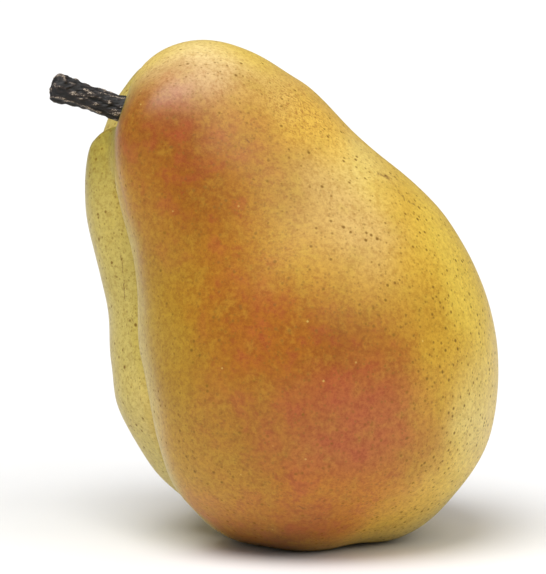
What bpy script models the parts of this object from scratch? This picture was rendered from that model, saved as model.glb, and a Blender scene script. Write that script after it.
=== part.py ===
"""A picked pear with its woody stem and its dried calyx, at real size.

Metres, +Z up, the front towards -Y. The pear stands on the low lobes round its calyx, on the plane Z = 0,
and the origin lies under the middle of the whole object's box.

Every piece is a limb: a sphere primitive whose rings are laid along a bent line. The fruit's core line
gives its lean, its outline gives its width at each height, and a few swellings and one long groove make it
grow unevenly, as a real one does. The stem stands in a socket at the core line's upper end, and the dried
calyx hangs from the floor of the basin at its lower end.
"""

import math

import bmesh
import bpy
import numpy as np
from mathutils import Vector

# Overall sizes of the fruit.
FRUIT_LENGTH = 0.0961  # along the core line, from the foot lobes to the crown
FRUIT_WIDTH = 0.0777  # across the belly

# The core line's lean in degrees from upright: (share of its length, to the left, to the back).
CORE_LEAN = (
    (0.00, 2.0, 0.0),
    (0.30, 8.3, 1.0),
    (0.60, 27.8, 2.0),
    (0.80, 38.5, 10.0),
    (0.92, 39.0, 17.0),
    (1.00, 90.0, 22.0),
)

# The outline between the foot lobes and the crown: (share of the length, share of the belly's width).
OUTLINE = (
    (0.020, 0.45),
    (0.070, 0.61),
    (0.180, 0.89),
    (0.350, 1.00),
    (0.520, 0.945),
    (0.680, 0.80),
    (0.820, 0.71),
    (0.925, 0.605),
)

# The basin round the calyx, under the fruit.
FOOT_WIDTH = 0.0226  # across the ring of lobes that the fruit stands on
BASIN_FLOOR_WIDTH = 0.0096
BASIN_DEPTH = 0.0062
FOOT_LOBES = 5
FOOT_LOBE_BEARING = 265.0  # degrees, where the first lobe lies
FOOT_LOBE_RISE = 0.0005  # how far a lobe stands out sideways
FOOT_LOBE_GAP = 0.0007  # how far the hollows between the lobes stay off the ground
FOOT_LOBE_REACH = 0.09  # share of the length over which the lobes fade
FOOT_FLAT = 0.0008  # how much of the lobes is pressed flat by the fruit's own weight

# The cavity that the stem comes out of.
CAVITY_WIDTH = 0.0140
CAVITY_DEPTH = 0.0032
COLLAR_WIDTH = 0.0013  # the flesh that lies level round the stem's foot

# The stem.
STEM_WIDTH = 0.0043
STEM_LENGTH = 0.0218  # from the cavity's floor to the broken end
STEM_KNOB_WIDTH = 0.0058  # across the end where it broke off the spur
STEM_ROOT = 0.0024  # how deep its foot stands in the fruit
STEM_END_LEAN = (73.0, -2.0)  # degrees from upright, to the left and to the back
STEM_RIDGES = 7
STEM_RIDGE_HEIGHT = 0.00014

# The dried calyx, in the basin.
SEPALS = 5
SEPAL_LENGTH = 0.0050
SEPAL_WIDTH = 0.0030
SEPAL_THICKNESS = 0.0006
SEPAL_RING_WIDTH = 0.0064  # across the circle that the sepals grow from
SEPAL_SPREAD = (8.0, 62.0)  # degrees that a sepal leans outwards, at its foot and at its tip
TUFT_WIDTH = 0.0032  # the dried styles and stamens in the middle
TUFT_LENGTH = 0.0036
TUFT_RIDGES = 5
TUFT_RIDGE_HEIGHT = 0.00022

CLEARANCE = 0.0003  # between two pieces that touch on the real pear

# How finely the shapes are divided.
FRUIT_SIDES, FRUIT_RINGS = 90, 48
STEM_SIDES, STEM_RINGS = 28, 18
SMALL_SIDES, SMALL_RINGS = 10, 8

# Uneven growth: (share of the length, bearing, rise, share of the length that it fades over, degrees).
# A bearing is measured round the core line: 0 is right, 90 is back, 180 is left and 270 is the front.
SWELLINGS = {
    "front foot": (0.05, 235.0, 0.0029, 0.06, 30.0),
    "right foot": (0.05, 350.0, 0.0027, 0.06, 40.0),
    "left flank": (0.22, 175.0, -0.0030, 0.10, 25.0),
    "left waist": (0.44, 180.0, -0.0020, 0.10, 30.0),
    "right shoulder": (0.70, 0.0, -0.0025, 0.10, 40.0),
    "crown": (0.94, 5.0, -0.0024, 0.07, 40.0),
    "far lobe": (0.92, 178.0, -0.0036, 0.08, 34.0),
    "near lobe": (0.94, 258.0, 0.0036, 0.07, 34.0),
}

# Lobes of the crown that grow on past the stem's foot: (bearing, rise along the core line, degrees).
CROWN_LOBES = {
    "far lobe": (115.0, 0.0160, 36.0),
    "near lobe": (262.0, 0.0010, 30.0),
}
CROWN_START, CROWN_FULL = 0.76, 0.94  # shares of the length where they start and are fully grown
CROWN_HOLLOW = 0.25  # share of the fruit's width over which they rise out of the cavity

# The groove down the left side: (share of the length, bearing, depth, half-width in degrees).
GROOVE = (
    (0.03, 194.0, 0.0016, 11.0),
    (0.14, 198.5, 0.0040, 9.0),
    (0.35, 211.0, 0.0034, 8.0),
    (0.60, 209.0, 0.0036, 8.0),
    (0.80, 219.0, 0.0056, 10.0),
    (0.92, 227.0, 0.0085, 14.0),
    (1.00, 228.0, 0.0080, 24.0),
)


def smooth_values(stations, where):
    """Values at each place in where, on smooth curves through the stations (place, value, value, ...)."""
    table = np.array(stations, float)
    places, values = table[:, 0], table[:, 1:]
    slopes = np.empty_like(values)
    slopes[1:-1] = (values[2:] - values[:-2]) / (places[2:] - places[:-2])[:, None]
    slopes[0] = (values[1] - values[0]) / (places[1] - places[0])
    slopes[-1] = (values[-1] - values[-2]) / (places[-1] - places[-2])
    where = np.clip(np.asarray(where, float), places[0], places[-1])
    left = np.clip(np.searchsorted(places, where, side="right") - 1, 0, len(places) - 2)
    span = (places[left + 1] - places[left])[:, None]
    u = (where - places[left])[:, None] / span
    start = (2 * u**3 - 3 * u**2 + 1) * values[left] + (u**3 - 2 * u**2 + u) * span * slopes[left]
    end = (3 * u**2 - 2 * u**3) * values[left + 1] + (u**3 - u**2) * span * slopes[left + 1]
    return start + end


def smooth_step(share):
    """0 below 0, 1 above 1, and smooth between them."""
    share = np.clip(share, 0.0, 1.0)
    return share * share * (3.0 - 2.0 * share)


def bell(distance, width):
    """1 at no distance, falling off smoothly over the width."""
    return np.exp(-0.5 * (distance / width) ** 2)


def turn_between(bearings, bearing):
    """The signed turn in degrees from bearing to each of bearings."""
    return (bearings - bearing + 180.0) % 360.0 - 180.0


def headings_of(left, back):
    """Unit vectors that lean that many degrees from upright, to the left and to the back."""
    left, back = np.radians(left), np.radians(back)
    return np.stack([-np.sin(left) * np.cos(back), np.sin(back), np.cos(left) * np.cos(back)], axis=-1)


class Line:
    """A smooth line in space from its start, its length and its headings."""

    STEPS = 400

    def __init__(self, start, length, headings):
        self.length = length
        self.along = np.linspace(0.0, length, self.STEPS)
        self.headings = headings / np.linalg.norm(headings, axis=1)[:, None]
        steps = (self.headings[1:] + self.headings[:-1]) / 2 * (length / (self.STEPS - 1))
        self.points = np.array(start, float) + np.concatenate([np.zeros((1, 3)), np.cumsum(steps, axis=0)])

    def at(self, distance):
        """(point, heading) at that distance; past both ends the line runs on straight."""
        inside = min(max(distance, 0.0), self.length)
        point = np.array([np.interp(inside, self.along, column) for column in self.points.T])
        heading = np.array([np.interp(inside, self.along, column) for column in self.headings.T])
        heading /= np.linalg.norm(heading)
        return point + heading * (distance - inside), heading

    def frame(self, distance, back=(0.0, 1.0, 0.0)):
        """(point, heading, right, back) at that distance, with the back as near to the one given as can be."""
        point, heading = self.at(distance)
        back = np.array(back) - heading * (np.array(back) @ heading)
        back /= np.linalg.norm(back)
        return point, heading, np.cross(back, heading), back


def core_line():
    """The line up the middle of the fruit."""
    leans = smooth_values(CORE_LEAN, np.linspace(0.0, 1.0, Line.STEPS))
    return Line((0.0, 0.0, 0.0), FRUIT_LENGTH, headings_of(leans[:, 0], leans[:, 1]))


def socket_radius():
    """The radius of the socket that the stem's foot stands in."""
    return STEM_WIDTH / 2 + STEM_RIDGE_HEIGHT + CLEARANCE


def cavity_floor():
    """How far up the core line the cavity's floor lies."""
    return FRUIT_LENGTH - CAVITY_DEPTH


def fruit_stations():
    """(distance up the core line, radius) from the edge of the basin's floor to the collar round the stem."""
    collar = socket_radius() + COLLAR_WIDTH
    stations = [
        (BASIN_DEPTH, BASIN_FLOOR_WIDTH / 2),
        (0.55 * BASIN_DEPTH, (0.72 * BASIN_FLOOR_WIDTH + 0.28 * FOOT_WIDTH) / 2),
        (0.0, FOOT_WIDTH / 2),
    ]
    stations += [(up * FRUIT_LENGTH, width * FRUIT_WIDTH / 2) for up, width in OUTLINE]
    stations += [
        (FRUIT_LENGTH, CAVITY_WIDTH / 2),
        (FRUIT_LENGTH - 0.45 * CAVITY_DEPTH, 0.3 * CAVITY_WIDTH / 2 + 0.7 * collar),
        (cavity_floor(), collar),
    ]
    return stations


def fruit_rings():
    """(distance up the core line, radius) of each ring of the fruit, from the basin's floor to the socket's."""
    stations = np.array(fruit_stations())
    chords = np.hypot(*np.diff(stations, axis=0).T) ** 0.5
    place = np.concatenate([[0.0], np.cumsum(chords)])
    fine = smooth_values(np.column_stack([place, stations]), np.linspace(0.0, place[-1], 2000))
    length = np.concatenate([[0.0], np.cumsum(np.hypot(*np.diff(fine, axis=0).T))])
    even = np.linspace(0.0, length[-1], FRUIT_RINGS)
    skin = [(np.interp(s, length, fine[:, 0]), np.interp(s, length, fine[:, 1])) for s in even]
    root = cavity_floor() - STEM_ROOT - CLEARANCE
    basin = [(BASIN_DEPTH, 0.5 * BASIN_FLOOR_WIDTH / 2)]
    socket = [(cavity_floor(), socket_radius()), (root, socket_radius()), (root, 0.5 * socket_radius())]
    return basin + skin + socket


def grown(distance, radius, bearings):
    """(distances, radii) round one ring, once the lobes, swellings and groove have changed it."""
    share = distance / FRUIT_LENGTH
    fade = smooth_step(radius / (0.13 * FRUIT_WIDTH) - 0.25)
    near_foot = bell(share, FOOT_LOBE_REACH)
    lobes = np.cos(np.radians(FOOT_LOBES * (bearings - FOOT_LOBE_BEARING)))
    radii = radius + FOOT_LOBE_RISE * near_foot * lobes * fade
    distances = distance + FOOT_LOBE_GAP * near_foot * (1.0 - lobes) / 2 * fade
    crown = smooth_step((share - CROWN_START) / (CROWN_FULL - CROWN_START))
    crown = crown * smooth_step(radius / (CROWN_HOLLOW * FRUIT_WIDTH) - 0.1)
    for bearing, rise, spread in CROWN_LOBES.values():
        distances = distances + rise * crown * bell(turn_between(bearings, bearing), spread) * fade
    for height, bearing, rise, reach, spread in SWELLINGS.values():
        radii = radii + rise * bell(share - height, reach) * bell(turn_between(bearings, bearing), spread) * fade
    bearing, depth, half_width = smooth_values(GROOVE, [share])[0]
    radii = radii - depth * bell(turn_between(bearings, bearing), half_width) * fade
    return distances, radii


def fruit_surface(core):
    """The fruit's rings of points, with the point under them and the point above them."""
    bearings = np.arange(FRUIT_SIDES) * 360.0 / FRUIT_SIDES
    turns = np.radians(bearings)[:, None]
    rings = []
    for distance, radius in fruit_rings():
        point, heading, right, back = core.frame(distance)
        distances, radii = grown(distance, radius, bearings)
        sideways = np.cos(turns) * right + np.sin(turns) * back
        rings.append(point + (distances - distance)[:, None] * heading + radii[:, None] * sideways)
    ground = min(ring[:, 2].min() for ring in rings) + FOOT_FLAT
    for ring in rings:
        ring[:, 2] = np.maximum(ring[:, 2], ground)
    return core.at(BASIN_DEPTH)[0], rings, core.at(fruit_rings()[-1][0])[0], ground


def limb_surface(line, stations, sides, count, back=(0.0, 1.0, 0.0), ridges=0, ridge_height=0.0):
    """Rings round a line, from stations (share of its length, width across, width from front to back)."""
    shares = (1.0 - np.cos(np.linspace(0.0, math.pi, count + 2)[1:-1])) / 2
    shares = 0.4 * shares + 0.6 * np.linspace(0.0, 1.0, count + 2)[1:-1]
    turns = np.linspace(0.0, 2 * math.pi, sides, endpoint=False)[:, None]
    rings = []
    for share, (across, deep) in zip(shares, smooth_values(stations, shares)):
        point, _, right, towards_back = line.frame(share * line.length, back)
        ridge = 1.0 + 2 * ridge_height / across * np.cos(ridges * turns + 1.5 * share)
        rings.append(point + ridge * (np.cos(turns) * right * across + np.sin(turns) * towards_back * deep) / 2)
    return line.at(0.0)[0], rings, line.at(line.length)[0]


def place_limb(name, surface, collection, material):
    """The object whose sphere primitive is laid on those rings, with its material."""
    below, rings, above = surface
    sides = len(rings[0])
    bm = bmesh.new()
    bmesh.ops.create_uvsphere(bm, u_segments=sides, v_segments=len(rings) + 1, radius=1.0)
    verts = sorted(bm.verts, key=lambda v: v.co.z)
    verts[0].co, verts[-1].co = Vector(below), Vector(above)
    bearings = {v: math.atan2(v.co.y, v.co.x) % (2 * math.pi) for v in verts[1:-1]}
    for number, ring in enumerate(rings):
        around = sorted(verts[1 + number * sides : 1 + (number + 1) * sides], key=bearings.get)
        for vert, point in zip(around, ring):
            vert.co = Vector(point)
    mesh = bpy.data.meshes.new(name)
    bm.to_mesh(mesh)
    bm.free()
    mesh.materials.append(material)
    mesh.shade_smooth()
    mesh.set_sharp_from_angle(angle=math.radians(50.0))
    made = bpy.data.objects.new(name, mesh)
    collection.objects.link(made)
    return made


def make_stem(core, collection, material):
    """The stem, from its foot in the socket to the knob where it broke off."""
    length = STEM_ROOT + STEM_LENGTH
    foot = cavity_floor() - STEM_ROOT
    along = np.linspace(0.0, length, Line.STEPS)
    with_core = np.array([core.at(foot + s)[1] for s in along])
    turned = smooth_step((along - STEM_ROOT) / (0.6 * STEM_LENGTH))[:, None]
    line = Line(core.at(foot)[0], length, (1.0 - turned) * with_core + turned * headings_of(*STEM_END_LEAN))
    neck = STEM_ROOT / length
    stations = [
        (0.0, 0.94 * STEM_WIDTH, 0.94 * STEM_WIDTH),
        (neck, STEM_WIDTH, STEM_WIDTH),
        (neck + 0.25 * (1 - neck), 1.03 * STEM_WIDTH, 0.98 * STEM_WIDTH),
        (0.72, 0.96 * STEM_WIDTH, 0.94 * STEM_WIDTH),
        (0.86, 0.45 * STEM_WIDTH + 0.5 * STEM_KNOB_WIDTH, 0.5 * STEM_WIDTH + 0.45 * STEM_KNOB_WIDTH),
        (0.94, STEM_KNOB_WIDTH, 0.94 * STEM_KNOB_WIDTH),
        (1.0, 0.86 * STEM_KNOB_WIDTH, 0.82 * STEM_KNOB_WIDTH),
    ]
    surface = limb_surface(
        line, stations, STEM_SIDES, STEM_RINGS, ridges=STEM_RIDGES, ridge_height=STEM_RIDGE_HEIGHT
    )
    return place_limb("stem", surface, collection, material)


def make_calyx(core, collection, material):
    """The five sepals round the tuft of dried styles, hanging from the basin's floor."""
    floor, up, right, back = core.frame(BASIN_DEPTH - CLEARANCE)
    made = []
    for number in range(SEPALS):
        turn = math.radians(FOOT_LOBE_BEARING + (number + 0.5) * 360.0 / SEPALS)
        outwards = math.cos(turn) * right + math.sin(turn) * back
        spread = np.radians(np.linspace(*SEPAL_SPREAD, Line.STEPS))[:, None]
        foot = floor + outwards * SEPAL_RING_WIDTH / 2
        line = Line(foot, SEPAL_LENGTH, np.sin(spread) * outwards - np.cos(spread) * up)
        stations = [
            (0.0, 0.60 * SEPAL_WIDTH, SEPAL_THICKNESS),
            (0.35, SEPAL_WIDTH, SEPAL_THICKNESS),
            (0.75, 0.60 * SEPAL_WIDTH, 0.9 * SEPAL_THICKNESS),
            (1.0, 0.15 * SEPAL_WIDTH, 0.7 * SEPAL_THICKNESS),
        ]
        surface = limb_surface(line, stations, SMALL_SIDES, SMALL_RINGS, back=tuple(outwards))
        made.append(place_limb(f"sepal_{number + 1}", surface, collection, material))
    line = Line(floor, TUFT_LENGTH, np.repeat([-up], Line.STEPS, axis=0))
    stations = [
        (0.0, 0.7 * TUFT_WIDTH, 0.7 * TUFT_WIDTH),
        (0.2, TUFT_WIDTH, TUFT_WIDTH),
        (0.6, 0.62 * TUFT_WIDTH, 0.62 * TUFT_WIDTH),
        (1.0, 0.3 * TUFT_WIDTH, 0.3 * TUFT_WIDTH),
    ]
    surface = limb_surface(
        line, stations, 2 * SMALL_SIDES, SMALL_RINGS, ridges=TUFT_RIDGES, ridge_height=TUFT_RIDGE_HEIGHT
    )
    return made + [place_limb("calyx_tuft", surface, collection, material)]


def make_material(name, colour, roughness):
    """A Principled material of that colour."""
    made = bpy.data.materials.new(name)
    made.use_nodes = True
    shader = made.node_tree.nodes["Principled BSDF"]
    shader.inputs["Base Color"].default_value = (*colour, 1.0)
    shader.inputs["Roughness"].default_value = roughness
    shader.inputs["Metallic"].default_value = 0.0
    return made


def main():
    """Builds the pear, and moves it so that the origin lies under the middle of its box."""
    for obj in list(bpy.data.objects):
        bpy.data.objects.remove(obj)
    collection = bpy.data.collections.new("pear")
    bpy.context.scene.collection.children.link(collection)
    core = core_line()
    *surface, ground = fruit_surface(core)
    fruit = place_limb("fruit", surface, collection, make_material("pear skin", (0.60, 0.34, 0.09), 0.42))
    stem = make_stem(core, collection, make_material("stem bark", (0.045, 0.034, 0.026), 0.75))
    calyx = make_calyx(core, collection, make_material("dried calyx", (0.075, 0.045, 0.025), 0.85))
    pieces = [fruit, stem] + calyx
    corners = np.array([v.co for piece in pieces for v in piece.data.vertices])
    middle = (corners.min(axis=0) + corners.max(axis=0)) / 2
    for piece in pieces:
        piece.location = (-middle[0], -middle[1], -ground)


main()
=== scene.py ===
"""A picked pear on a pale studio floor: its skin, its woody stem and the dried calyx underneath.

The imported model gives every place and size. The fruit, the stem and the calyx are copies of its solids,
refined and sculpted, and each gets its own procedural finish. The pear and its patterns are measured in
millimetres, and the studio in metres.
"""

import logging
import math
from dataclasses import dataclass
from enum import Enum
from typing import NamedTuple

import bpy
import numpy as np
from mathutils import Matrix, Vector, noise


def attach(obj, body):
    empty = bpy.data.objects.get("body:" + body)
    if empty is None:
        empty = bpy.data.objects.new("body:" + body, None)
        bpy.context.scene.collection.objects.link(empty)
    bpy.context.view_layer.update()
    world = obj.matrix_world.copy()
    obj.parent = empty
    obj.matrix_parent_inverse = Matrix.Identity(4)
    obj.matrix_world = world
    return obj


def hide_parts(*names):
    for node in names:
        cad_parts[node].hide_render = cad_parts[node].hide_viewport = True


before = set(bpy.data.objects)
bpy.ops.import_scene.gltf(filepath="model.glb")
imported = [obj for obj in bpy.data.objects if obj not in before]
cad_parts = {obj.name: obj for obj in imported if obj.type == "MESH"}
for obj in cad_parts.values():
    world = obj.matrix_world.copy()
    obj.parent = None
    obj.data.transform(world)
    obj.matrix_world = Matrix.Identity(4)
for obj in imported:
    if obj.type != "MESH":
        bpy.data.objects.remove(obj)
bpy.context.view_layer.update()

LOG = logging.getLogger("pear")
MM = 0.001
BODY = "root"
MERGE_GAP = 0.001 * MM
FACE_TURN = math.radians(50)
FACE_SKEW = math.radians(60)
EASE_SHARE = 0.6
Colour = tuple[float, float, float]
Point = tuple[float, float, float]
Spot = tuple[float, float]


class Slot(Enum):
    """The record's material slots."""

    SKIN = "skin"
    BARK = "bark"
    CALYX = "calyx"


class Side(Enum):
    """The side of the fruit that a dab of colour is put on, as the direction it faces."""

    FRONT = (0.0, -1.0, 0.0)
    BACK = (0.0, 1.0, 0.0)
    RIGHT = (1.0, 0.0, 0.0)
    LEFT = (-1.0, 0.0, 0.0)
    UNDER = (0.0, 0.0, -1.0)


def linear(red: int, green: int, blue: int) -> Colour:
    """A colour named on a 0 to 255 scale, as the linear values that the shaders take."""

    def one(value: float) -> float:
        """One channel."""
        share = value / 255.0
        return share / 12.92 if share <= 0.04045 else ((share + 0.055) / 1.055) ** 2.4

    return (one(red), one(green), one(blue))


class Clouds(NamedTuple):
    """Fractal noise in a material: its patches in millimetres, its finer layers, their strength."""

    size: float
    detail: float = 3.0
    rough: float = 0.55


class Ramp(NamedTuple):
    """A smooth step: where it begins and ends, and the results below and above it."""

    low: float
    high: float
    start: float = 0.0
    end: float = 1.0


class Relief(NamedTuple):
    """A bump: what a height of 1 stands for in millimetres, and how much of it shows."""

    depth: float
    strength: float


# ----------------------------------------
# Shader maths
# ----------------------------------------


class Wire:
    """One output socket of a material, with operators that add the Math nodes they stand for."""

    def __init__(self, board: "Board", socket: bpy.types.NodeSocket) -> None:
        """Wraps a socket of that board."""
        self.board = board
        self.socket = socket

    def _math(self, operation: str, *values: object) -> "Wire":
        """A Math node on those values."""
        inputs = dict(enumerate(values))
        return self.board.node("ShaderNodeMath", {"operation": operation}, inputs)

    def __add__(self, other: object) -> "Wire":
        """self + other."""
        return self._math("ADD", self, other)

    __radd__ = __add__

    def __sub__(self, other: object) -> "Wire":
        """self - other."""
        return self._math("SUBTRACT", self, other)

    def __rsub__(self, other: object) -> "Wire":
        """other - self."""
        return self._math("SUBTRACT", other, self)

    def __mul__(self, other: object) -> "Wire":
        """self * other."""
        return self._math("MULTIPLY", self, other)

    __rmul__ = __mul__

    def __truediv__(self, other: object) -> "Wire":
        """self / other."""
        return self._math("DIVIDE", self, other)

    def most(self, other: object) -> "Wire":
        """The larger of the two."""
        return self._math("MAXIMUM", self, other)

    def least(self, other: object) -> "Wire":
        """The smaller of the two."""
        return self._math("MINIMUM", self, other)

    def step(self, low: float, high: float, start: float = 0.0, end: float = 1.0) -> "Wire":
        """A smooth step.

        Args:
            low: Value where the step begins.
            high: Value where it ends.
            start: Result below the step.
            end: Result above the step.

        Returns:
            The stepped value.
        """
        inputs = {"Value": self, "From Min": low, "From Max": high, "To Min": start, "To Max": end}
        return self.board.node("ShaderNodeMapRange", {"interpolation_type": "SMOOTHSTEP"}, inputs)


class Board:
    """The node board of one material, with patterns in millimetres on the object."""

    def __init__(self, name: str) -> None:
        """An empty material of that name, with its shader and its output."""
        self.material = bpy.data.materials.new(name)
        self.material.use_nodes = True
        self.nodes = self.material.node_tree.nodes
        self.links = self.material.node_tree.links
        self.nodes.clear()
        self.shader = self.nodes.new("ShaderNodeBsdfPrincipled")
        output = self.nodes.new("ShaderNodeOutputMaterial")
        self.links.new(self.shader.outputs["BSDF"], output.inputs["Surface"])
        self._place: Wire | None = None

    def plug(self, socket: bpy.types.NodeSocket, value: object) -> None:
        """Links a wire to an input socket, or sets the socket's own value.

        Args:
            socket: The input socket.
            value: A Wire, a number or a tuple.
        """
        if isinstance(value, Wire):
            self.links.new(value.socket, socket)
        elif socket.type == "RGBA" and len(value) == 3:
            socket.default_value = (*value, 1.0)
        else:
            socket.default_value = value

    def node(self, kind: str, settings: dict, inputs: dict, output: int | str = 0) -> Wire:
        """Any node.

        Args:
            kind: The node's type.
            settings: Its settings, set first.
            inputs: Values or wires for its sockets, by name or number.
            output: Which output is wanted.

        Returns:
            The wire at that output.
        """
        made = self.nodes.new(kind)
        for key, value in settings.items():
            setattr(made, key, value)
        for key, value in inputs.items():
            self.plug(made.inputs[key], value)
        return Wire(self, made.outputs[output])

    @property
    def place(self) -> Wire:
        """The place on the object, in millimetres."""
        if self._place is None:
            metres = self.node("ShaderNodeTexCoord", {}, {}, "Object")
            self._place = self.scaled(metres, (1.0 / MM,) * 3)
        return self._place

    def scaled(self, vector: Wire, factors: Point) -> Wire:
        """A vector times three factors."""
        return self.node("ShaderNodeVectorMath", {"operation": "MULTIPLY"}, {0: vector, 1: factors})

    def moved(self, vector: Wire, other: object) -> Wire:
        """The sum of two vectors."""
        return self.node("ShaderNodeVectorMath", {"operation": "ADD"}, {0: vector, 1: other})

    def clouds(
        self, size: float, detail: float = 3.0, rough: float = 0.55, at: Wire | None = None
    ) -> Wire:
        """Fractal noise round 0.5.

        Args:
            size: Size of its largest patches in millimetres.
            detail: Number of finer layers.
            rough: How strong the finer layers are.
            at: Where it is read; the place on the object if not given.

        Returns:
            The noise's value.
        """
        inputs = {"Vector": at or self.place, "Scale": 1.0 / size, "Detail": detail, "Roughness": rough}
        return self.node("ShaderNodeTexNoise", {}, inputs, "Fac")

    def warped(self, size: float, reach: float) -> Wire:
        """The place on the object, pushed about by noise.

        Args:
            size: Size of the noise in millimetres.
            reach: How far a point is pushed, in millimetres.

        Returns:
            The pushed place.
        """
        inputs = {"Vector": self.place, "Scale": 1.0 / size, "Detail": 2.0}
        push = self.node("ShaderNodeTexNoise", {}, inputs, "Color")
        centred = self.moved(push, (-0.5,) * 3)
        return self.moved(self.place, self.scaled(centred, (2.0 * reach,) * 3))

    def cells(self, size: float) -> tuple[Wire, Wire, Wire]:
        """Scattered points.

        Args:
            size: Distance between them in millimetres.

        Returns:
            The distance in millimetres to the nearest point, and that point's two random values from
            0 to 1.
        """
        inputs = {"Vector": self.place, "Scale": 1.0 / size, "Randomness": 1.0}
        distance = self.node("ShaderNodeTexVoronoi", {}, inputs, "Distance")
        colour = Wire(self, distance.socket.node.outputs["Color"])
        chance = self.node("ShaderNodeSeparateColor", {}, {0: colour}, 0)
        return distance * size, chance, Wire(self, chance.socket.node.outputs[1])

    def mix(self, share: object, under: object, over: object, blend: str = "MIX") -> Wire:
        """Two colours mixed.

        Args:
            share: How much of the upper colour there is, a wire or a number.
            under: The lower colour.
            over: The upper colour.
            blend: The way they mix.

        Returns:
            The mixed colour.
        """
        settings = {"data_type": "RGBA", "blend_type": blend, "clamp_factor": True}
        made = self.node("ShaderNodeMix", settings, {}, 2).socket.node
        for name, value in (("Factor_Float", share), ("A_Color", under), ("B_Color", over)):
            socket = next(s for s in made.inputs if s.identifier == name)
            self.plug(socket, value)
        return Wire(self, made.outputs[2])

    def stroke(self, at: Wire, start: Point, end: Point) -> Wire:
        """The distance to a straight stroke.

        Args:
            at: Where it is read, in millimetres.
            start: One end of the stroke.
            end: Its other end.

        Returns:
            The distance in millimetres.
        """
        run = np.array(end) - np.array(start)
        off = self.moved(at, tuple(-value for value in start))
        along = {"operation": "DOT_PRODUCT"}, {0: off, 1: tuple(run / (run @ run))}
        share = self.node("ShaderNodeVectorMath", *along, "Value").most(0.0).least(1.0)
        inputs = {0: tuple(-run), "Scale": share}
        back = self.node("ShaderNodeVectorMath", {"operation": "SCALE"}, inputs)
        inputs = {0: self.moved(off, back)}
        return self.node("ShaderNodeVectorMath", {"operation": "LENGTH"}, inputs, "Value")

    def attribute(self, name: str, colour: bool = False) -> Wire:
        """A value, or a colour, that the mesh carries at its points."""
        output = "Color" if colour else "Fac"
        return self.node("ShaderNodeAttribute", {"attribute_name": name}, {}, output)

    def bumped(self, height: Wire, relief: Relief, under: Wire | None = None) -> Wire:
        """A Bump node.

        Args:
            height: The height, from 0 to 1.
            relief: How deep and how strong the bump is.
            under: A bump that this one lies on.

        Returns:
            The bent normal.
        """
        inputs = {"Height": height, "Distance": relief.depth * MM, "Strength": relief.strength}
        if under is not None:
            inputs["Normal"] = under
        return self.node("ShaderNodeBump", {}, inputs)

    def finish(self, **inputs: object) -> bpy.types.Material:
        """Sets the shader's sockets, with _ in a name for a space, and gives the material."""
        for name, value in inputs.items():
            self.plug(self.shader.inputs[name.replace("_", " ")], value)
        return self.material


# ----------------------------------------
# Modelling helpers
# ----------------------------------------


def pick(piece: bpy.types.Object) -> None:
    """Leaves one object selected and active."""
    bpy.ops.object.select_all(action="DESELECT")
    piece.select_set(True)
    bpy.context.view_layer.objects.active = piece


def subdivide(piece: bpy.types.Object, levels: int) -> None:
    """Applies a Subdivision Surface modifier of that many levels."""
    pick(piece)
    modifier = piece.modifiers.new("finer", "SUBSURF")
    modifier.levels = modifier.render_levels = levels
    bpy.ops.object.modifier_apply(modifier=modifier.name)


def refined_copy(node: str, name: str, levels: int) -> bpy.types.Object:
    """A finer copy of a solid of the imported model.

    Args:
        node: The solid's name.
        name: The new piece's name.
        levels: How many times its faces are divided.

    Returns:
        The new piece.
    """
    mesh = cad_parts[node].data.copy()
    mesh.name = name
    mesh.materials.clear()
    piece = bpy.data.objects.new(name, mesh)
    bpy.context.scene.collection.objects.link(piece)
    pick(piece)
    bpy.ops.mesh.customdata_custom_splitnormals_clear()
    bpy.ops.object.mode_set(mode="EDIT")
    bpy.ops.mesh.select_all(action="SELECT")
    bpy.ops.mesh.remove_doubles(threshold=MERGE_GAP)
    bpy.ops.mesh.mark_sharp(clear=True)
    bpy.ops.mesh.tris_convert_to_quads(face_threshold=FACE_TURN, shape_threshold=FACE_SKEW)
    bpy.ops.object.mode_set(mode="OBJECT")
    if levels:
        subdivide(piece, levels)
    pick(piece)
    bpy.ops.object.shade_smooth()
    return piece


def points_of(piece: bpy.types.Object) -> np.ndarray:
    """The places of a mesh's points in millimetres."""
    flat = np.empty(len(piece.data.vertices) * 3)
    piece.data.vertices.foreach_get("co", flat)
    return flat.reshape(-1, 3) / MM


def normals_of(piece: bpy.types.Object) -> np.ndarray:
    """The normals at a mesh's points."""
    flat = np.empty(len(piece.data.vertices) * 3)
    piece.data.vertices.foreach_get("normal", flat)
    return flat.reshape(-1, 3)


def set_points(piece: bpy.types.Object, points: np.ndarray) -> None:
    """Moves a mesh's points to places in millimetres."""
    piece.data.vertices.foreach_set("co", (points * MM).ravel())
    piece.data.update()


def keep_value(piece: bpy.types.Object, name: str, values: np.ndarray) -> None:
    """Stores one value for each point of a mesh."""
    kept = piece.data.attributes.new(name, "FLOAT", "POINT")
    kept.data.foreach_set("value", np.asarray(values, np.float32))


def keep_colour(piece: bpy.types.Object, name: str, colours: np.ndarray) -> None:
    """Stores one colour for each point of a mesh."""
    kept = piece.data.color_attributes.new(name, "FLOAT_COLOR", "POINT")
    full = np.column_stack([colours, np.ones(len(colours))])
    kept.data.foreach_set("color", full.astype(np.float32).ravel())


def bell(distance: np.ndarray, width: float) -> np.ndarray:
    """1 at no distance, falling off smoothly over the width."""
    return np.exp(-((distance / width) ** 2))


def smooth(share: np.ndarray) -> np.ndarray:
    """0 below 0, 1 above 1, and smooth between them."""
    share = np.clip(share, 0.0, 1.0)
    return share * share * (3.0 - 2.0 * share)


def lumps(points: np.ndarray, size: float, shift: Point = (0.0, 0.0, 0.0)) -> np.ndarray:
    """Smooth noise from -1 to 1 at each point.

    Args:
        points: Places in millimetres.
        size: Size of the lumps in millimetres.
        shift: Which part of the noise is used.

    Returns:
        One value for each point.
    """
    return np.array([noise.noise(Vector(p)) for p in points / size + np.array(shift)])


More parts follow.
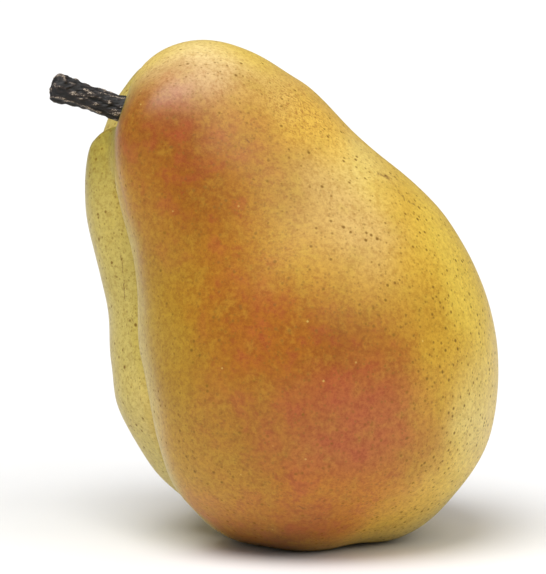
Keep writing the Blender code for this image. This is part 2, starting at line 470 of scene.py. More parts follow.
class Fade(NamedTuple):
    """A smooth rise from 0 to 1: where it starts, and over what run."""

    start: float
    run: float

    def over(self, values: np.ndarray) -> np.ndarray:
        """How far each value has risen."""
        return smooth((values - self.start) / self.run)


class Lumps(NamedTuple):
    """Noise that raises a surface: its height and size in millimetres, and which part of it is used."""

    height: float
    size: float
    shift: Point = (0.0, 0.0, 0.0)

    def over(self, points: np.ndarray) -> np.ndarray:
        """How far each point is raised."""
        return self.height * lumps(points, self.size, self.shift)


class Touch(NamedTuple):
    """A round touch on a surface: its middle and its reach in millimetres, and its strength."""

    middle: Point
    reach: float
    strength: float = 1.0

    def over(self, points: np.ndarray) -> np.ndarray:
        """How strongly each point is touched."""
        return self.strength * bell(np.linalg.norm(points - np.array(self.middle), axis=1), self.reach)


def curve_through(points: tuple[Point, ...], count: int) -> np.ndarray:
    """A smooth curve.

    Args:
        points: Places that it passes through.
        count: How many places are given back.

    Returns:
        Evenly spaced places along it.
    """
    knots = np.array(points, float)
    places = np.concatenate([[0.0], np.cumsum(np.linalg.norm(np.diff(knots, axis=0), axis=1))])
    slopes = np.gradient(knots, places, axis=0)
    where = np.linspace(0.0, places[-1], count)
    left = np.clip(np.searchsorted(places, where, side="right") - 1, 0, len(places) - 2)
    span = (places[left + 1] - places[left])[:, None]
    u = (where - places[left])[:, None] / span
    start = (2 * u**3 - 3 * u**2 + 1) * knots[left] + (u**3 - 2 * u**2 + u) * span * slopes[left]
    end = (3 * u**2 - 2 * u**3) * knots[left + 1] + (u**3 - u**2) * span * slopes[left + 1]
    return start + end


def nearest_on(curve: np.ndarray, points: np.ndarray) -> tuple[np.ndarray, np.ndarray]:
    """The nearest place on a curve.

    Args:
        curve: Places along the curve.
        points: Places to start from.

    Returns:
        The distance to the curve and the number of the nearest place on it, for each point.
    """
    nearest = np.zeros(len(points), int)
    best = np.full(len(points), np.inf)
    for number, place in enumerate(curve):
        distance = ((points - place) ** 2).sum(axis=1)
        closer = distance < best
        best[closer] = distance[closer]
        nearest[closer] = number
    return np.sqrt(best), nearest


def eased(piece: bpy.types.Object, points: np.ndarray, weights: np.ndarray, rounds: int) -> np.ndarray:
    """Smooths a surface as a smoothing brush does.

    Args:
        piece: The piece that the points belong to.
        points: Their places.
        weights: How strongly each is smoothed, from 0 to 1.
        rounds: How many strokes.

    Returns:
        The smoothed places.
    """
    edges = np.empty(len(piece.data.edges) * 2, int)
    piece.data.edges.foreach_get("vertices", edges)
    one, two = edges.reshape(-1, 2).T
    count = np.bincount(one, minlength=len(points)) + np.bincount(two, minlength=len(points))
    for _ in range(rounds):
        total = np.zeros_like(points)
        for axis in range(3):
            total[:, axis] += np.bincount(one, points[two, axis], minlength=len(points))
            total[:, axis] += np.bincount(two, points[one, axis], minlength=len(points))
        middle = total / np.maximum(count, 1)[:, None]
        points = points + (weights * EASE_SHARE)[:, None] * (middle - points)
    return points


def hand_over(piece: bpy.types.Object, material: bpy.types.Material, slot: Slot, *nodes: str) -> None:
    """Dresses a finished piece and ties it to the model.

    Args:
        piece: The piece.
        material: Its material.
        slot: The record's slot that the material stands for; not used.
        nodes: The solids that the piece replaces.
    """
    piece.data.materials.clear()
    piece.data.materials.append(material)
    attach(piece, BODY)
    if nodes:
        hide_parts(*nodes)
    LOG.info("%s: %d faces", piece.name, len(piece.data.polygons))


# ----------------------------------------
# Finishes
# ----------------------------------------


@dataclass(frozen=True)
class Scar:
    """A thin healed scratch: its ends, across and up, its width and how much of it shows."""

    start: Spot
    end: Spot
    width: float
    strength: float
    in_front: bool = True


@dataclass(frozen=True)
class SkinFinish:
    """Ripe pear skin: a painted ground with painted highlights and shade in it, mottling, grain, russet,
    lenticels, pale flecks and scars.
    """

    blotches: Clouds = Clouds(11.0, 3.0, 0.6)
    mottling: Clouds = Clouds(4.0, 4.0, 0.65)
    grain: Clouds = Clouds(1.0, 4.0, 0.85)
    red_colour: Colour = linear(174, 72, 48)
    red_blotch: Ramp = Ramp(0.50, 0.66, 0.0, 0.22)
    red_mottle: Ramp = Ramp(0.50, 0.34, 0.0, 0.30)
    green_colour: Colour = linear(172, 144, 40)
    green_mottle: Ramp = Ramp(0.50, 0.68, 0.0, 0.20)
    dark_tone: Colour = (0.78, 0.68, 0.50)
    dark_grain: Ramp = Ramp(0.52, 0.38, 0.0, 0.75)
    pale_tone: Colour = (1.17, 1.20, 1.22)
    pale_grain: Ramp = Ramp(0.50, 0.62, 0.0, 0.75)
    speck_gap: float = 0.80
    speck_edge: Ramp = Ramp(0.30, 0.14)
    speck_choice: Ramp = Ramp(0.45, 0.75)
    speck_share: float = 0.45
    speck_colour: Colour = linear(128, 92, 22)
    russet_grain: Clouds = Clouds(0.55, 2.0, 0.8)
    russet_crowding: float = 0.12
    russet_edge: Ramp = Ramp(0.56, 0.66)
    russet_spread: Ramp = Ramp(0.0, 0.5, 0.0, 0.7)
    russet_colour: Colour = linear(150, 92, 34)
    lenticel_gap: float = 1.28
    lenticel_radius: float = 0.48
    lenticel_edge: Ramp = Ramp(1.0, 0.35)
    lenticel_choice: Ramp = Ramp(-0.04, 0.04)
    lenticel_share: float = 0.45
    lenticel_share_by_size: float = 0.45
    lenticel_loss_in_blush: float = 0.45
    lenticel_colour: Colour = linear(118, 82, 2)
    fleck_gap: float = 3.1
    fleck_edge: Ramp = Ramp(0.30, 0.12)
    fleck_choice: Ramp = Ramp(0.84, 0.90)
    fleck_share: float = 0.45
    fleck_colour: Colour = linear(226, 196, 104)
    pore_gap: float = 0.45
    pore_edge: Ramp = Ramp(0.0, 0.35)
    pore_relief: Relief = Relief(0.012, 0.5)
    lenticel_relief: Relief = Relief(0.015, 0.5)
    roughness: float = 0.34
    lenticel_roughness: float = 0.20
    russet_roughness: float = 0.25
    mottle_roughness: float = 0.10
    shine: float = 0.32
    scar_colour: Colour = linear(112, 66, 18)
    scar_wander: tuple[float, float] = (1.3, 0.55)
    scar_core: float = 0.25
    scar_gaps: Clouds = Clouds(0.7, 2.0, 0.8)
    scar_gap_edge: Ramp = Ramp(0.40, 0.56, 0.15, 1.0)
    front_edge: Ramp = Ramp(2.0, -2.0)
    scars: tuple[Scar, ...] = (
        Scar((19.8, 72.6), (22.0, 71.6), 0.22, 0.70),
        Scar((23.6, 69.6), (24.8, 67.9), 0.24, 0.75),
        Scar((25.6, 67.4), (27.2, 66.6), 0.22, 0.60),
        Scar((-29.4, 57.0), (-29.0, 53.5), 0.17, 0.60),
        Scar((-28.8, 52.0), (-28.6, 48.0), 0.18, 0.70),
        Scar((-27.4, 46.0), (-27.0, 43.8), 0.16, 0.50),
        Scar((4.6, 11.9), (5.9, 11.3), 0.22, 0.75),
        Scar((7.6, 8.7), (8.7, 9.1), 0.22, 0.75),
        Scar((-15.3, 80.9), (-14.5, 81.0), 0.18, 0.50),
        Scar((-12.0, 80.2), (-11.3, 80.4), 0.20, 0.55),
        Scar((-8.8, 80.7), (-8.3, 80.4), 0.20, 0.55),
        Scar((-6.6, 79.4), (-6.2, 78.5), 0.22, 0.65),
        Scar((-5.4, 79.9), (-4.8, 79.6), 0.22, 0.65),
        Scar((-5.7, 77.7), (-5.1, 77.8), 0.20, 0.60),
        Scar((6.0, 52.0), (9.5, 53.6), 0.20, 0.60, False),
        Scar((-14.0, 40.0), (-13.4, 42.5), 0.20, 0.55, False),
    )

    def make(self) -> bpy.types.Material:
        """The material."""
        board = Board("pear_skin")
        blush = board.attribute("blush")
        mottle = board.clouds(*self.mottling)
        colour = self._mottled(board, blush, mottle)
        russet = self._russeted(board)
        colour = board.mix(russet, colour, self.russet_colour)
        dot, shown = self._dotted(board, blush)
        colour = board.mix(shown, colour, self.lenticel_colour)
        distance, chance, _ = board.cells(self.fleck_gap)
        fleck = distance.step(*self.fleck_edge) * chance.step(*self.fleck_choice)
        colour = board.mix(fleck * self.fleck_share, colour, self.fleck_colour)
        colour = board.mix(self._scarred(board), colour, self.scar_colour)
        bump = board.bumped(board.cells(self.pore_gap)[0].step(*self.pore_edge), self.pore_relief)
        bump = board.bumped(dot, self.lenticel_relief, bump)
        rough = self.roughness + dot * self.lenticel_roughness + russet * self.russet_roughness
        rough = rough + mottle * self.mottle_roughness
        looks = {"Base_Color": colour, "Roughness": rough, "Normal": bump}
        return board.finish(**looks, Specular_IOR_Level=self.shine)

    def _mottled(self, board: Board, blush: Wire, mottle: Wire) -> Wire:
        """The painted ground, painted highlights and shade included, with its blotches, mottling, grain
        and specks.

        Args:
            board: The skin's board.
            blush: How much blush there is.
            mottle: The mottling's noise.

        Returns:
            The colour.
        """
        ground_and_painted_light = board.attribute("ground_and_painted_light", colour=True)
        wide = board.clouds(*self.blotches)
        colour = board.mix(wide.step(*self.red_blotch) * blush, ground_and_painted_light, self.red_colour)
        colour = board.mix(mottle.step(*self.green_mottle), colour, self.green_colour)
        colour = board.mix(mottle.step(*self.red_mottle) * blush, colour, self.red_colour)
        grain = board.clouds(*self.grain)
        colour = board.mix(grain.step(*self.dark_grain), colour, self.dark_tone, "MULTIPLY")
        colour = board.mix(grain.step(*self.pale_grain), colour, self.pale_tone, "MULTIPLY")
        distance, chance, _ = board.cells(self.speck_gap)
        speck = distance.step(*self.speck_edge) * chance.step(*self.speck_choice)
        return board.mix(speck * self.speck_share, colour, self.speck_colour)

    def _russeted(self, board: Board) -> Wire:
        """How much russet there is, from 0 to 1, on that board."""
        wanted = board.attribute("russet")
        russet = board.clouds(*self.russet_grain) + wanted * self.russet_crowding
        return russet.step(*self.russet_edge) * wanted.step(*self.russet_spread)

    def _dotted(self, board: Board, blush: Wire) -> tuple[Wire, Wire]:
        """The lenticels.

        Args:
            board: The skin's board.
            blush: How much blush there is.

        Returns:
            How much of a lenticel there is, from 0 to 1, and how much of its colour shows.
        """
        distance, chance, size = board.cells(self.lenticel_gap)
        reach = (size * 0.5 + 0.5) * self.lenticel_radius
        there = (board.attribute("dots") - chance).step(*self.lenticel_choice)
        dot = (distance / reach).step(*self.lenticel_edge) * there
        strength = size * self.lenticel_share_by_size + self.lenticel_share
        return dot, dot * strength * (1 - blush * self.lenticel_loss_in_blush)

    def _scarred(self, board: Board) -> Wire:
        """How much scar there is, from 0 to 1, on that board."""
        flat = board.scaled(board.warped(*self.scar_wander), (1.0, 0.0, 1.0))
        depth = board.node("ShaderNodeSeparateXYZ", {}, {0: board.place}, 1)
        front = depth.step(*self.front_edge)
        total: Wire | None = None
        for scar in self.scars:
            ends = (scar.start[0], 0.0, scar.start[1]), (scar.end[0], 0.0, scar.end[1])
            edge = Ramp(scar.width, self.scar_core * scar.width, 0.0, scar.strength)
            mark = board.stroke(flat, *ends).step(*edge)
            mark = mark * front if scar.in_front else mark * (1 - front)
            total = mark if total is None else total.most(mark)
        return total * board.clouds(*self.scar_gaps).step(*self.scar_gap_edge)


@dataclass(frozen=True)
class BarkFinish:
    """The stem's dark dry bark, with painted shade in its furrows and painted glints on its ridges."""

    # the bark's own dark colour, darkened with painted shade for the furrows
    furrow_shade: Colour = linear(12, 9, 8)
    middle: Colour = linear(38, 27, 23)
    # painted glint colour for the ridges
    ridge_glint: Colour = linear(186, 170, 152)
    streaks: Clouds = Clouds(1.1, 4.0, 0.7)
    streak_stretch: Point = (0.28, 1.0, 1.0)
    streak_share: float = 0.6
    threads: Clouds = Clouds(0.42, 3.0, 0.7)
    thread_stretch: Point = (0.22, 1.0, 1.0)
    thread_share: float = 1.1
    specks: Clouds = Clouds(0.22, 3.0, 0.75)
    middle_edge: Ramp = Ramp(0.38, 0.72)
    ridge_edge: Ramp = Ramp(0.68, 0.84)
    glint_edge: Ramp = Ramp(0.48, 0.55)
    streak_relief: Relief = Relief(0.10, 0.7)
    thread_relief: Relief = Relief(0.12, 0.8)
    speck_relief: Relief = Relief(0.05, 0.8)
    roughness: float = 0.48
    speck_roughness: float = 0.25

    def make(self) -> bpy.types.Material:
        """The material."""
        board = Board("stem_bark")
        height = board.attribute("height")
        streaks = board.clouds(*self.streaks, board.scaled(board.place, self.streak_stretch))
        speck = board.clouds(*self.specks)
        thread = board.clouds(*self.threads, board.scaled(board.place, self.thread_stretch))
        level = height + (streaks - 0.5) * self.streak_share + (thread - 0.5) * self.thread_share
        # painted shade: near black where the bark sinks into its furrows, over the bark's own dark brown
        colour = board.mix(level.step(*self.middle_edge), self.furrow_shade, self.middle)
        # painted glints: pale specks on the bark's high ridges
        glint = level.step(*self.ridge_edge) * speck.step(*self.glint_edge)
        colour = board.mix(glint, colour, self.ridge_glint)
        bump = board.bumped(streaks, self.streak_relief)
        bump = board.bumped(thread, self.thread_relief, bump)
        bump = board.bumped(speck, self.speck_relief, bump)
        rough = self.roughness + speck * self.speck_roughness
        return board.finish(Base_Color=colour, Roughness=rough, Normal=bump)


@dataclass(frozen=True)
class HuskFinish:
    """The papery dead brown of the calyx."""

    dark: Colour = linear(46, 32, 22)
    pale: Colour = linear(138, 106, 72)
    dust: Colour = (0.55, 0.48, 0.38)
    fibres: Clouds = Clouds(0.6, 4.0, 0.7)
    fibre_edge: Ramp = Ramp(0.35, 0.70)
    fibre_relief: Relief = Relief(0.10, 0.8)
    dusting: Clouds = Clouds(0.18, 2.0, 0.7)
    dust_edge: Ramp = Ramp(0.55, 0.75, 0.0, 0.5)
    roughness: float = 0.78
    dust_roughness: float = 0.15

    def make(self, name: str) -> bpy.types.Material:
        """The material, under that name."""
        board = Board(name)
        fibre = board.clouds(*self.fibres)
        dust = board.clouds(*self.dusting)
        colour = board.mix(fibre.step(*self.fibre_edge), self.dark, self.pale)
        colour = board.mix(dust.step(*self.dust_edge), colour, self.dust)
        bump = board.bumped(fibre, self.fibre_relief)
        rough = self.roughness + dust * self.dust_roughness
        return board.finish(Base_Color=colour, Roughness=rough, Normal=bump)


@dataclass(frozen=True)
class FloorFinish:
    """The studio's matt white floor."""

    colour: Colour = (0.86, 0.86, 0.86)
    grain: Clouds = Clouds(40.0, 2.0)
    grain_edge: Ramp = Ramp(0.3, 0.7)
    grain_tone: float = 0.985
    roughness: float = 0.9
    shine: float = 0.1

    def make(self) -> bpy.types.Material:
        """The material."""
        board = Board("studio_floor")
        grain = board.clouds(*self.grain)
        worn = tuple(self.grain_tone * channel for channel in self.colour)
        colour = board.mix(grain.step(*self.grain_edge), self.colour, worn)
        return board.finish(Base_Color=colour, Roughness=self.roughness, Specular_IOR_Level=self.shine)


# ----------------------------------------
# The fruit
# ----------------------------------------


class Tint(Enum):
    """The colours that the skin's ground is painted with: the skin's own tones, and painted highlights,
    sheen and shade.
    """

    # painted highlight: pale patches on the crown's top and painted reflection on the rims
    PALE = linear(222, 198, 114)
    # painted highlight: the pale cream gloss where the light strikes the crown
    BLOOM = linear(233, 208, 154)
    STRAW = linear(221, 188, 72)
    # a cream skin tone that is partly painted sheen, laid where the shoulder's sheen falls
    CREAM = linear(200, 164, 94)
    CORN = linear(218, 174, 68)
    GOLD = linear(200, 156, 43)
    HONEY = linear(184, 139, 40)
    OLIVE = linear(166, 125, 27)
    ORANGE = linear(166, 110, 26)
    CLAY = linear(187, 118, 26)
    RUST = linear(158, 93, 17)
    EMBER = linear(137, 76, 6)
    FLUSH = linear(138, 38, 22)
    ROSE = linear(172, 93, 46)
    # painted shade: dark brown at the foot, where the fruit sits on the floor
    UMBER = linear(68, 38, 5)
    # painted shade: dark green in the fold under the stem
    LIME = linear(122, 110, 16)
    MOSS = linear(193, 173, 89)
    # painted highlight: the pale band where the groove's near lip catches the light
    LIP = linear(206, 186, 118)


BLUSH = (Tint.ORANGE, Tint.CLAY, Tint.RUST, Tint.EMBER, Tint.FLUSH, Tint.ROSE)

# Where the brush is put down for each colour: across and up in millimetres, as seen from that side.
PALETTE_PLAN: dict[Side, dict[Tint, tuple[Spot, ...]]] = {
    Side.FRONT: {
        # painted highlight on the crown's top, painted reflection on the left and right rims
        Tint.PALE: ((-17, 96), (16, 74), (37, 24), (-24, 26), (39, 30)),
        # painted highlight on the crown
        Tint.BLOOM: ((-13, 94), (-18, 94)),
        Tint.STRAW: ((-7, 95), (-22, 97), (39, 44), (39, 33), (34, 16), (32, 62), (36, 52)),
        # cream tone, partly painted sheen on the shoulder
        Tint.CREAM: ((9, 71), (14, 65), (-1, 89), (20, 61)),
        Tint.CORN: ((9, 81), (5, 85), (26, 11)),
        Tint.GOLD: ((24, 68), (26, 57), (31, 31), (33, 40), (22, 6), (-29, 68)),
        Tint.HONEY: ((-24, 90), (-8, 86), (-1, 80), (3, 60), (10, 57), (18, 53),
                     (27, 45), (27, 22), (-8, 14), (-21, 23), (-14, 22)),
        Tint.OLIVE: ((1, 71), (-18, 54), (-16, 45), (-20, 35), (-14, 35), (-23, 55), (-22, 43)),
        Tint.ORANGE: ((-25, 78), (-6, 69), (-4, 60), (-8, 27), (-1, 27), (-3, 17), (-21, 63)),
        Tint.CLAY: ((5, 15), (12, 15), (20, 14), (-1, 10), (14, 8), (-6, 7)),
        Tint.RUST: ((-23, 70), (-6, 78), (-11, 56), (-9, 47), (-3, 51), (5, 47), (20, 42),
                    (-6, 38), (1, 37), (8, 35)),
        Tint.EMBER: ((-25, 84), (-18, 79), (-12, 79), (-14, 69), (12, 44), (7, 8)),
        Tint.FLUSH: ((-22, 88), (-14, 88)),
        Tint.ROSE: ((16, 33), (23, 32), (7, 25), (14, 23), (22, 24)),
        Tint.UMBER: ((-1, 4), (9, 4), (5, 1)),
        # painted shade at the foot
        Tint.LIME: ((-31, 80), (-37, 72)),
        # painted shade in the fold under the stem
        Tint.MOSS: ((-36, 65), (-34, 76), (-33, 71), (-32, 66), (-31, 84), (-35, 59), (-31, 55),
                    (-31, 48), (-30, 40), (-29, 30), (-26, 23), (-22, 16), (-28, 60), (-25, 43)),
    },
    Side.BACK: {
        Tint.STRAW: ((-20, 45), (25, 40), (5, 78), (-8, 14)),
        Tint.GOLD: ((0, 55), (12, 22), (15, 62), (-15, 78)),
        Tint.HONEY: ((8, 38), (-14, 60), (26, 24)),
        Tint.MOSS: ((-24, 26), (26, 52), (-22, 70)),
    },
    Side.LEFT: {
        Tint.MOSS: ((22, 44), (2, 22), (0, 52), (12, 64), (14, 78), (8, 34)),
    },
    Side.RIGHT: {
        Tint.GOLD: ((14, 60),),
        Tint.STRAW: ((16, 30), (-6, 60), (0, 45), (4, 22)),
    },
    Side.UNDER: {
        Tint.MOSS: ((20, 10), (-8, 14), (24, -6)),
        Tint.OLIVE: ((8, 0),),
    },
}


class Crowd(NamedTuple):
    """Extra dots on one side of the fruit: which side, how they thicken outwards, and how many."""

    side: Side
    edge: Fade
    share: float

    def over(self, points: np.ndarray) -> np.ndarray:
        """The extra dots at each point."""
        return self.share * self.edge.over(points @ np.array(self.side.value))


@dataclass
class Fruit:
    """The fruit's flesh and skin."""

    levels: int = 2
    crease: tuple[Point, ...] = (
        (-9.8, -4.9, 1.5),
        (-13.7, -6.5, 5.9),
        (-17.7, -8.8, 11.1),
        (-21.0, -12.6, 17.9),
        (-22.9, -16.3, 24.2),
        (-24.0, -17.8, 29.7),
        (-24.9, -16.8, 34.5),
        (-25.9, -15.2, 39.3),
        (-26.2, -13.9, 45.4),
        (-26.5, -13.2, 52.7),
        (-27.8, -12.0, 60.5),
        (-29.5, -10.1, 67.7),
        (-31.2, -7.8, 75.0),
    )
    crease_samples: int = 240
    crease_depth: float = 0.9
    crease_width: float = 1.3
    crease_wave: Lumps = Lumps(0.35, 7.0)
    crease_ends: Fade = Fade(0.0, 20.0)
    crease_reach: float = 14.0
    lip_height: float = 0.5
    lip_width: float = 2.4
    lip_gap: float = 3.2
    lip_reach: float = 12.0
    lip_side: Fade = Fade(0.0, 2.0)
    swell_height: float = 0.30
    swells: tuple[Lumps, ...] = (Lumps(0.65, 19.0, (3.1, 0.4, 7.7)), Lumps(0.35, 8.0, (1.7, 5.2, 0.3)))
    socket: Point = (-23.1, 6.4, 83.1)
    socket_edge: Fade = Fade(5.0, 4.0)
    rims: tuple[tuple[Touch, int], ...] = (
        (Touch((-33.0, 1.0, 75.0), 11.0), 24),
        (Touch((-30.0, 20.0, 82.0), 12.0), 24),
    )
    last_strokes: int = 6
    pushes: tuple[tuple[Touch, Point], ...] = (
        (Touch((-34.0, 0.0, 76.0), 8.0), (-2.2, -1.2, 2.6)),
        (Touch((-37.0, -2.0, 75.0), 7.5), (-1.6, -1.5, 7.0)),
        (Touch((-29.0, 14.0, 84.0), 7.5), (-0.5, 0.0, 4.0)),
        (Touch((-27.0, 21.0, 85.0), 8.5), (0.0, 0.0, 7.5)),
        (Touch((-28.0, -14.0, 82.0), 9.0), (1.4, 0.0, 0.0)),
        (Touch((-14.0, -8.0, 97.0), 13.0), (0.0, 0.0, 0.9)),
    )
    brush: float = 7.0
    broad_brush: float = 13.0
    brush_edge: Lumps = Lumps(3.0, 9.0, (11.3, 2.0, 5.0))
    # how strongly the painted highlight is laid along the groove's lip
    lip_highlight: float = 0.75
    facing_least: float = 0.05
    dots_everywhere: float = 0.38
    crowds: tuple[Crowd, ...] = (
        Crowd(Side.RIGHT, Fade(5.0, 30.0), 0.50),
        Crowd(Side.LEFT, Fade(24.0, 8.0), 0.40),
        Crowd(Side.BACK, Fade(5.0, 25.0), 0.35),
    )
    russets: tuple[Touch, ...] = (
        Touch((-23.1, 6.4, 83.1), 9.0),
        Touch((8.1, -0.4, 3.0), 9.0),
        Touch((6.0, -14.0, 87.0), 12.0, 0.45),
    )

    def build(self) -> bpy.types.Object:
        """The sculpted fruit, with its ground colour, painted highlights and shade among it, and its
        densities painted on.
        """
        piece = refined_copy("fruit", "pear_flesh", 0)
        set_points(piece, self._shape_crown(piece, points_of(piece)))
        subdivide(piece, self.levels)
        points, normals = points_of(piece), normals_of(piece)
        points, lip = self._press_crease(points, normals)
        swell = self.swell_height * sum(lump.over(points) for lump in self.swells)
        points = points + normals * swell[:, None]
        points[:, 2] = np.maximum(points[:, 2], 0.0)
        set_points(piece, points)
        self._paint(piece, points, normals_of(piece), lip)
        return piece

    def _shape_crown(self, piece: bpy.types.Object, points: np.ndarray) -> np.ndarray:
        """Rounds the far lobe's rim and pulls the two lobes into place round the stem.

        Args:
            piece: The fruit, before its faces are divided.
            points: Its places in millimetres.

        Returns:
            The moved places.
        """
        clear = self.socket_edge.over(np.linalg.norm(points - np.array(self.socket), axis=1))
        total = np.zeros(len(points))
        for touch, strokes in self.rims:
            weights = touch.over(points) * clear
            points = eased(piece, points, weights, strokes)
            total = np.maximum(total, weights)
        for touch, push in self.pushes:
            points = points + (touch.over(points) * clear)[:, None] * np.array(push)
        return eased(piece, points, total, self.last_strokes)

    def _press_crease(self, points: np.ndarray, normals: np.ndarray) -> tuple[np.ndarray, np.ndarray]:
        """Presses a narrow crease into the groove's floor and raises the lip on its near side.

        Args:
            points: Places in millimetres.
            normals: The normals there.

        Returns:
            The moved places, and how far each lies on the groove's lip, from 0 to 1.
        """
        curve = curve_through(self.crease, self.crease_samples)
        distance, nearest = nearest_on(curve, points)
        run = np.gradient(curve, axis=0)[nearest]
        across = np.cross(run, normals)
        across /= np.maximum(np.linalg.norm(across, axis=1), 1e-9)[:, None]
        side = ((points - curve[nearest]) * across).sum(axis=1)
        ends = self.crease_ends.over(nearest) * self.crease_ends.over(len(curve) - 1 - nearest)
        behind = points[:, 1] - curve[nearest][:, 1]
        near = np.abs(behind) < self.crease_reach
        wave = 1.0 + self.crease_wave.over(curve)[nearest]
        dip = self.crease_depth * wave * bell(distance, self.crease_width)
        lip = self.lip_height * bell(np.abs(side) - self.lip_gap, self.lip_width)
        lip *= (distance < self.lip_reach) * self.lip_side.over(-behind)
        moved = points + normals * ((lip - dip) * ends * near)[:, None]
        return moved, lip / self.lip_height * ends * near

    def _paint(
        self, piece: bpy.types.Object, points: np.ndarray, normals: np.ndarray, lip: np.ndarray
    ) -> None:
        """Lays the ground colour, dab by dab, painted highlights and painted shade among the dabs, and
        the densities of dots and russet.

        Args:
            piece: The fruit.
            points: Its places in millimetres.
            normals: The normals there.
            lip: How far each place lies on the groove's lip, which is given a painted highlight.
        """
        across, *rest = self.brush_edge.shift
        edges = (self.brush_edge._replace(shift=(axis * across, *rest)) for axis in range(3))
        pushed = points + np.stack([edge.over(points) for edge in edges], axis=1)
        total = np.full(len(points), 1e-6)
        ground_and_painted_light = total[:, None] * np.array(Tint.GOLD.value)
        blush = np.zeros(len(points))
        for side, tints in PALETTE_PLAN.items():
            reach = self.brush if side is Side.FRONT else self.broad_brush
            for tint, spots in tints.items():
                for spot in spots:
                    centre = self._under_brush(points, normals, side, spot)
                    share = bell(np.linalg.norm(pushed - centre, axis=1), reach)
                    total += share
                    ground_and_painted_light += share[:, None] * np.array(tint.value)
                    blush += share * (tint in BLUSH)
        ground_and_painted_light /= total[:, None]
        # painted highlight: a pale band along the groove's near lip
        ground_and_painted_light += (self.lip_highlight * lip)[:, None] * (np.array(Tint.LIP.value) - ground_and_painted_light)
        keep_colour(piece, "ground_and_painted_light", ground_and_painted_light)
        keep_value(piece, "blush", blush / total)
        dots = np.full(len(points), self.dots_everywhere)
        for crowd in self.crowds:
            dots += crowd.over(points)
        keep_value(piece, "dots", np.clip(dots, 0.0, 1.0))
        russet = sum(touch.over(points) for touch in self.russets)
        keep_value(piece, "russet", np.clip(russet, 0.0, 1.0))

    def _under_brush(
        self, points: np.ndarray, normals: np.ndarray, side: Side, spot: Spot
    ) -> np.ndarray:
        """The place on the skin where the brush is put down.

        Args:
            points: Places on the skin in millimetres.
            normals: The normals there.
            side: The side that it is seen from.
            spot: How far across and how far up it is.

        Returns:
            That place.
        """
        facing = np.array(side.value)
        across = points[:, 1] if side in (Side.LEFT, Side.RIGHT) else points[:, 0]
        height = points[:, 1] if side is Side.UNDER else points[:, 2]
        miss = (across - spot[0]) ** 2 + (height - spot[1]) ** 2
        miss[normals @ facing < self.facing_least] = np.inf
        return points[np.argmin(miss)]


# ----------------------------------------
# The stem and the calyx
# ----------------------------------------


@dataclass
class Stem:
    """The woody stem, with furrowed bark and a broken knob at its end."""

    levels: int = 3
    line: tuple[Point, ...] = (
        (-21.2, 5.6, 81.9),
        (-26.5, 7.6, 83.8),
        (-32.3, 8.6, 84.7),
        (-38.1, 8.5, 86.4),
        (-43.9, 8.3, 88.2),
    )
    line_samples: int = 200
    furrows: int = 9
    furrow_depth: float = 0.24
    furrow_twist: float = 1.3
    furrow_wander: Lumps = Lumps(0.35, 4.0)
    furrow_share: float = 0.7
    bark_stretch: Point = (0.35, 1.0, 1.0)
    bark: tuple[Lumps, ...] = (Lumps(1.0, 0.8, (2.0, 3.0, 1.0)), Lumps(0.8, 0.38, (5.0, 1.0, 2.0)))
    bare: Fade = Fade(0.06, 0.06)
    swelling: float = 0.30
    swell: Fade = Fade(0.12, 0.2)
    knob: Fade = Fade(0.78, 0.15)
    knob_thinning: float = 0.8
    knob_lumps: Lumps = Lumps(0.22, 1.3, (9.0, 4.0, 6.0))
    end: Fade = Fade(0.975, 0.02)
    end_lumps: Lumps = Lumps(0.25, 0.7, (3.0, 8.0, 2.0))
    sag: float = 0.55
    sag_middle: float = 0.40
    sag_reach: float = 0.26

    def build(self) -> bpy.types.Object:
        """The sculpted stem, with the height of its bark kept at its points."""
        piece = refined_copy("stem", "woody_stem", self.levels)
        points, normals = points_of(piece), normals_of(piece)
        curve = curve_through(self.line, self.line_samples)
        _, nearest = nearest_on(curve, points)
        along = nearest / (len(curve) - 1)
        off = points - curve[nearest]
        turn = np.arctan2(off[:, 2], off[:, 1])
        twist = turn + self.furrow_twist * along + self.furrow_wander.over(points)
        ridges = np.cos(self.furrows * twist) * 0.5
        bark = sum(lump.over(points * np.array(self.bark_stretch)) for lump in self.bark)
        height = np.clip(0.5 + 0.5 * (self.furrow_share * ridges + bark), 0.0, 1.0)
        knob = self.knob.over(along)
        move = self.furrow_depth * (height - 0.5) * 2.0 * self.bare.over(along)
        move += self.swelling * self.swell.over(along) * (1.0 - self.knob_thinning * knob)
        move += knob * self.knob_lumps.over(points)
        move += self.end.over(along) * self.end_lumps.over(points)
        points = points + normals * move[:, None]
        points[:, 2] -= self.sag * bell(along - self.sag_middle, self.sag_reach)
        set_points(piece, points)
        keep_value(piece, "height", height)
        return piece


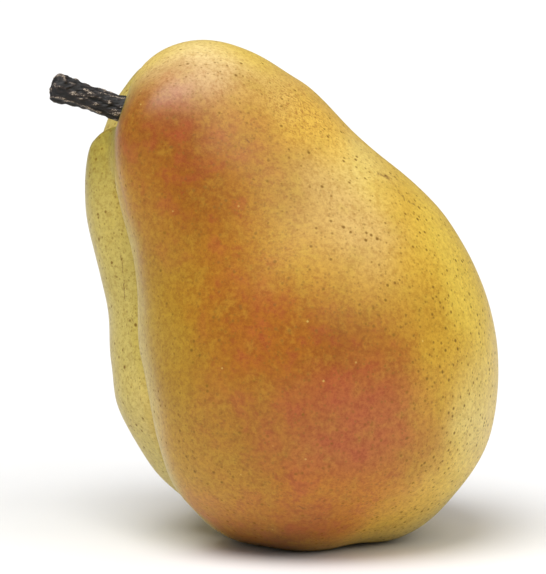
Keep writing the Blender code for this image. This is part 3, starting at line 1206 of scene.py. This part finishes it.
@dataclass
class Calyx:
    """The dried calyx in the basin under the fruit."""

    levels: int = 2
    sepals: int = 5
    wrinkles: Lumps = Lumps(0.10, 0.8, (3.3, 1.0, 2.0))
    fine_wrinkles: Lumps = Lumps(0.05, 0.35)
    tuft_stretch: Point = (1.0, 1.0, 0.3)
    tuft_furrows: Lumps = Lumps(0.16, 0.6)
    fine_furrows: Lumps = Lumps(0.06, 0.3)

    def build_sepal(self, number: int) -> bpy.types.Object:
        """One curled, wrinkled sepal, by its number."""
        piece = refined_copy(f"sepal_{number}", f"dried_sepal_{number}", self.levels)
        points = points_of(piece)
        across, *rest = self.wrinkles.shift
        wrinkles = self.wrinkles._replace(shift=(number * across, *rest))
        self._raise(piece, wrinkles.over(points) + self.fine_wrinkles.over(points))
        return piece

    def build_tuft(self) -> bpy.types.Object:
        """The shrivelled styles in the middle."""
        piece = refined_copy("calyx_tuft", "dried_styles", self.levels)
        points = points_of(piece)
        furrows = self.tuft_furrows.over(points * np.array(self.tuft_stretch))
        self._raise(piece, furrows + self.fine_furrows.over(points))
        return piece

    def _raise(self, piece: bpy.types.Object, heights: np.ndarray) -> None:
        """Raises a piece's surface by those heights."""
        set_points(piece, points_of(piece) + normals_of(piece) * heights[:, None])


# ----------------------------------------
# The studio
# ----------------------------------------


class Lamp(NamedTuple):
    """A big soft light: its strength, and its bearing, height and apparent width in degrees."""

    name: str
    power: float
    bearing: float
    height: float
    spread: float


@dataclass
class Studio:
    """The floor, the lights and the camera, in metres and degrees."""

    floor_reach: float = 12.0
    lamps: tuple[Lamp, ...] = (
        Lamp("key", 2.65, -32.0, 65.0, 42.0),
        Lamp("fill", 1.08, 44.0, 46.0, 55.0),
    )
    sky: float = 0.27
    elevation: float = 7.0
    distance: float = 0.65
    lens: float = 208.8
    aim: Point = (-0.0002, 0.0, 0.0493)

    def build(self) -> None:
        """Everything that isn't the object."""
        self._floor()
        self._sky()
        for lamp in self.lamps:
            self._hang(lamp)
        self._camera()

    def _floor(self) -> None:
        """A plain pale floor."""
        bpy.ops.object.select_all(action="DESELECT")
        bpy.ops.mesh.primitive_plane_add(size=2 * self.floor_reach, location=(0.0, 0.0, 0.0))
        floor = bpy.context.object
        floor.name = "studio_floor"
        floor.data.materials.append(FloorFinish().make())

    def _sky(self) -> None:
        """Even white light from all round."""
        world = bpy.data.worlds.new("studio")
        world.use_nodes = True
        background = world.node_tree.nodes["Background"]
        background.inputs["Color"].default_value = (1.0, 1.0, 1.0, 1.0)
        background.inputs["Strength"].default_value = self.sky
        bpy.context.scene.world = world

    def _hang(self, lamp: Lamp) -> None:
        """Hangs one lamp, its bearing counted from the front towards the right."""
        light = bpy.data.lights.new(lamp.name, "SUN")
        light.energy = lamp.power
        light.angle = math.radians(lamp.spread)
        bearing, height = math.radians(lamp.bearing), math.radians(lamp.height)
        flat = math.cos(height)
        towards = Vector((math.sin(bearing) * flat, -math.cos(bearing) * flat, math.sin(height)))
        made = bpy.data.objects.new(lamp.name, light)
        made.rotation_euler = towards.to_track_quat("Z", "Y").to_euler()
        bpy.context.scene.collection.objects.link(made)

    def _camera(self) -> None:
        """The camera, in front of the pear and a little above it."""
        camera = bpy.data.cameras.new("camera")
        camera.lens = self.lens
        made = bpy.data.objects.new("camera", camera)
        height = math.radians(self.elevation)
        back = Vector((0.0, -math.cos(height), math.sin(height)))
        made.location = Vector(self.aim) + back * self.distance
        made.rotation_euler = (-back).to_track_quat("-Z", "Y").to_euler()
        bpy.context.scene.collection.objects.link(made)
        bpy.context.scene.camera = made


def main() -> None:
    """Builds the pear and the studio."""
    logging.basicConfig(level=logging.INFO, format="%(name)s: %(message)s")
    bpy.context.scene.view_settings.view_transform = "Standard"
    fruit = Fruit().build()
    hand_over(fruit, SkinFinish().make(), Slot.SKIN, "fruit")
    stem = Stem().build()
    hand_over(stem, BarkFinish().make(), Slot.BARK, "stem")
    calyx = Calyx()
    husk = HuskFinish().make("dried_calyx")
    for number in range(1, calyx.sepals + 1):
        hand_over(calyx.build_sepal(number), husk, Slot.CALYX, f"sepal_{number}")
    hand_over(calyx.build_tuft(), husk, Slot.CALYX, "calyx_tuft")
    Studio().build()


if __name__ == "__main__":
    main()
